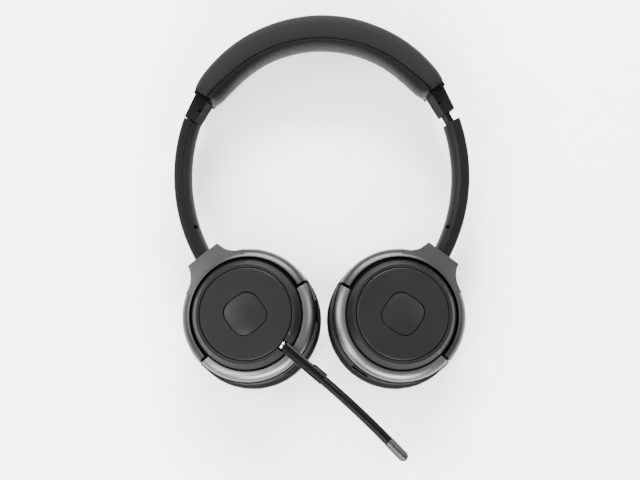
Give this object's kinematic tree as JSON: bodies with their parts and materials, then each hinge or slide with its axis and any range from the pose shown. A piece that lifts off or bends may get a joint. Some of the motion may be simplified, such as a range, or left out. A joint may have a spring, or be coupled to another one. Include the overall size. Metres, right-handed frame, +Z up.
{
  "type": "office headset",
  "caption": "On-ear wireless headset: padded headband, sliding arms, swivelling yokes, tilting ear cups with round side buttons, and a turning boom microphone.",
  "frame": {"origin": "middle of the underside of the box round the headset as it lies flat on its ear cushions", "axes": "+Z up, the outward side of the cups; +Y towards the crown of the headband; +X towards the right cup"},
  "size_m": [0.1596, 0.2414, 0.0505],
  "materials": {
    "matte_black": "fine moulded texture",
    "arm_shell": "satin moulded texture",
    "arm_cover": "soft satin",
    "leather": "fine grained leatherette",
    "gunmetal": "satin metallic grey",
    "silver": "satin silver",
    "face": "satin black",
    "button": "satin black",
    "steel": "bright steel",
    "cloth": "fine black knit",
    "magnet": "nickel",
    "film": "clear film",
    "board": "solder mask",
    "cell": "foil pouch",
    "boom": "soft matt",
    "light": "clear lens"
  },
  "bodies": {
    "headband": {"headband_frame": "matte_black", "headband_spring": "steel", "headband_cushion": "leather", "headband_cover": "leather", "left_end_cap": "matte_black", "right_end_cap": "matte_black", "left_cap_screw": "steel", "right_cap_screw": "steel"},
    "left_arm": {"left_arm_shell": "arm_shell", "left_arm_cover": "arm_cover", "left_arm_screw": "steel", "left_slider_tongue": "matte_black", "left_swivel_bush": "matte_black"},
    "left_yoke_arm": {"left_yoke": "gunmetal", "left_swivel_shaft": "steel", "left_inner_pivot_pin": "steel", "left_outer_pivot_pin": "steel"},
    "left_cup": {"left_cup_shell": "matte_black", "left_trim_ring": "silver", "left_cushion_plate": "matte_black", "left_driver_cloth": "cloth", "left_baffle": "matte_black", "left_driver_frame": "matte_black", "left_driver_magnet": "magnet", "left_driver_diaphragm": "film", "left_ear_cushion": "leather", "left_face_plate": "face", "usb_port": "steel", "circuit_board": "board"},
    "right_arm": {"right_arm_shell": "arm_shell", "right_arm_cover": "arm_cover", "right_arm_screw": "steel", "right_slider_tongue": "matte_black", "right_swivel_bush": "matte_black"},
    "right_yoke_arm": {"right_yoke": "gunmetal", "right_swivel_shaft": "steel", "right_inner_pivot_pin": "steel", "right_outer_pivot_pin": "steel"},
    "right_cup": {"right_cup_shell": "matte_black", "right_trim_ring": "silver", "right_cushion_plate": "matte_black", "right_driver_cloth": "cloth", "right_baffle": "matte_black", "right_driver_frame": "matte_black", "right_driver_magnet": "magnet", "right_driver_diaphragm": "film", "right_ear_cushion": "leather", "right_face_plate": "face", "right_side_ring": "face", "battery": "cell"},
    "left_face_button": {"left_button": "button"},
    "right_face_button": {"right_button": "button"},
    "rocker": {"volume_rocker": "matte_black"},
    "switch": {"power_switch": "matte_black"},
    "boom": {"boom_ring": "face", "status_light": "light", "boom_arm": "boom", "boom_stem": "boom", "boom_tip": "silver", "mic_capsule": "cloth"}
  },
  "joints": [
    {"name": "left_slide", "type": "slide", "parent": "headband", "child": "left_arm", "axis": [-0.4951, -0.866, -0.0696], "range_m": [-0.00035, 0.02]},
    {"name": "left_swivel", "type": "hinge", "parent": "left_arm", "child": "left_yoke_arm", "pos_m": [-0.06255, -0.01027, 0.0186], "axis": [0.5946, -0.7997, 0.0836], "range_deg": [0, 90]},
    {"name": "left_tilt", "type": "hinge", "parent": "left_yoke_arm", "child": "left_cup", "pos_m": [-0.03857, -0.04329, 0.02617], "axis": [-0.7919, -0.6004, -0.1113], "range_deg": [-8, 8]},
    {"name": "left_button_press", "type": "slide", "parent": "left_cup", "child": "left_face_button", "axis": [0.1392, 0, -0.9903], "range_m": [0, 0.0006], "stiffness_N_per_m": 800, "springref_m": -0.0005},
    {"name": "right_slide", "type": "slide", "parent": "headband", "child": "right_arm", "axis": [0.4951, -0.866, -0.0696], "range_m": [-0.003, 0.015]},
    {"name": "right_swivel", "type": "hinge", "parent": "right_arm", "child": "right_yoke_arm", "pos_m": [0.06383, -0.00946, 0.01875], "axis": [0.568, 0.8192, -0.0798], "range_deg": [0, 90]},
    {"name": "right_tilt", "type": "hinge", "parent": "right_yoke_arm", "child": "right_cup", "pos_m": [0.04095, -0.04329, 0.02617], "axis": [-0.8112, 0.5736, 0.114], "range_deg": [-8, 8]},
    {"name": "right_button_press", "type": "slide", "parent": "right_cup", "child": "right_face_button", "axis": [-0.1392, 0, -0.9903], "range_m": [0, 0.0006], "stiffness_N_per_m": 800, "springref_m": -0.0005},
    {"name": "rocker_press", "type": "slide", "parent": "left_cup", "child": "rocker", "axis": [-0.988, -0.068, -0.1389], "range_m": [0, 0.0005], "stiffness_N_per_m": 800, "springref_m": -0.0005},
    {"name": "switch_press", "type": "slide", "parent": "right_cup", "child": "switch", "axis": [0.568, 0.8192, -0.0798], "range_m": [0, 0.0005], "stiffness_N_per_m": 800, "springref_m": -0.0005},
    {"name": "boom_turn", "type": "hinge", "parent": "left_cup", "child": "boom", "pos_m": [-0.04004, -0.04329, 0.03657], "axis": [-0.1392, 0, 0.9903], "range_deg": [-205, 15]}
  ]
}
